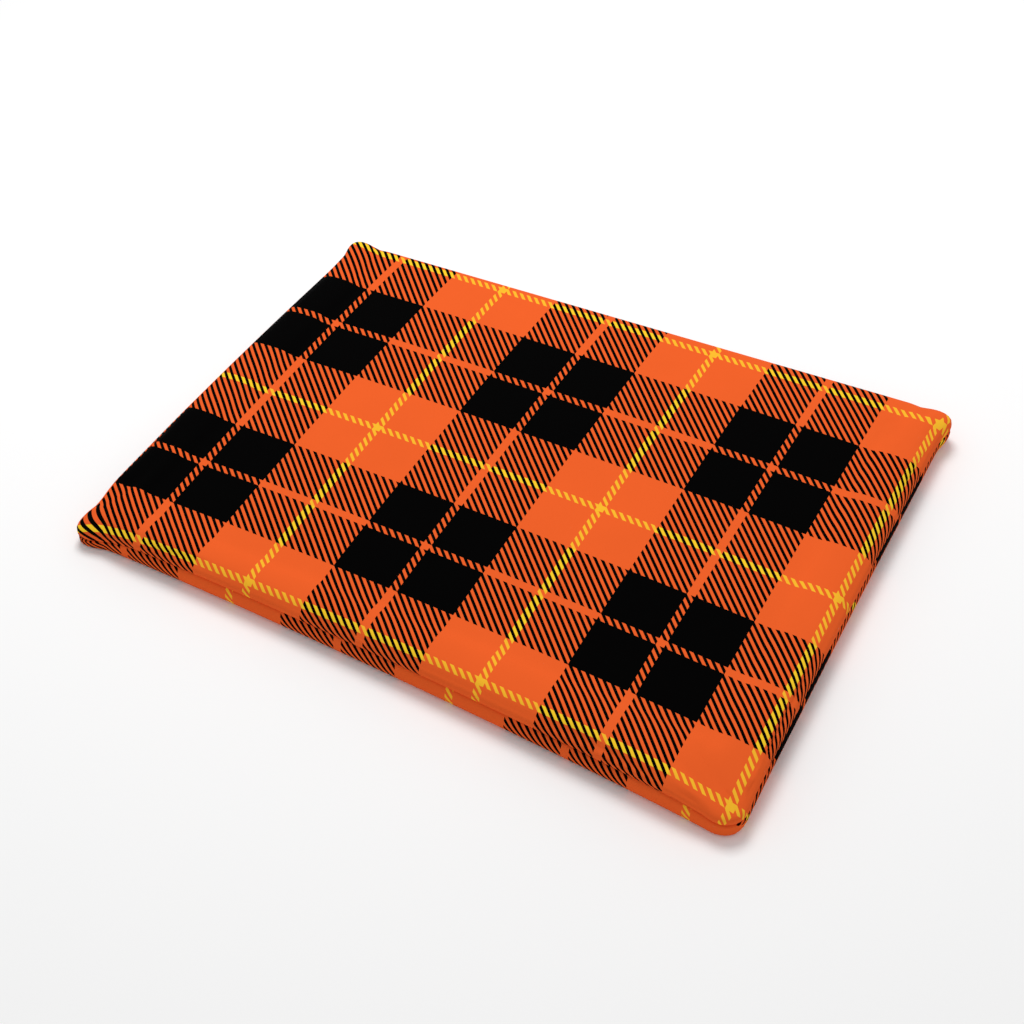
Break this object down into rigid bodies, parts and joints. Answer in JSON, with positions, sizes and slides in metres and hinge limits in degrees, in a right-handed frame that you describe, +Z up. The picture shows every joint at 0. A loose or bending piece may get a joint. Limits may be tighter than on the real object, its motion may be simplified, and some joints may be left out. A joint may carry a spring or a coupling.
{
  "type": "pet cushion bed",
  "caption": "Flat rectangular padded pet mat with a tartan-printed zip-off cover, inward side seam and removable wadded insert.",
  "frame": {"origin": "centre of the flat underside, on the floor", "axes": "+X along the long side, +Y to the back edge with the zip, +Z up"},
  "size_m": [0.61, 0.4613, 0.03],
  "materials": {
    "printed_cloth": "matte",
    "orange_thread": "matte",
    "zip_tape": "matte",
    "zip_coil": "satin",
    "zip_metal": "satin",
    "liner_cloth": "matte",
    "white_thread": "matte",
    "wadding": "matte",
    "foam": "matte"
  },
  "bodies": {
    "mat": {"cover_top_panel": "printed_cloth", "cover_bottom_panel": "printed_cloth", "seam_stitching": "orange_thread", "zip_tape_upper": "zip_tape", "zip_tape_lower": "zip_tape", "zip_coil_upper": "zip_coil", "zip_coil_lower": "zip_coil", "zip_top_stop_upper": "zip_metal", "zip_top_stop_lower": "zip_metal", "zip_bottom_stop": "zip_metal", "zip_stitching_upper": "orange_thread", "zip_stitching_lower": "orange_thread", "bar_tack_left": "orange_thread", "bar_tack_right": "orange_thread", "liner_top": "liner_cloth", "liner_bottom": "liner_cloth", "liner_stitching": "white_thread", "batting_bottom": "wadding", "foam_core": "foam", "batting_top": "wadding"},
    "slider": {"zip_slider_body": "zip_metal"},
    "pull": {"zip_pull_tab": "zip_metal"}
  },
  "joints": [
    {"name": "zip_slide", "type": "slide", "parent": "mat", "child": "slider", "axis": [1, 0, 0], "range_m": [0, 0.4913], "deforming": ["zip_coil_upper", "zip_coil_lower"]},
    {"name": "pull_swing", "type": "hinge", "parent": "slider", "child": "pull", "pos_m": [-0.24605, 0.2311, 0.017], "axis": [0, 0, 1], "range_deg": [0, 180]}
  ]
}
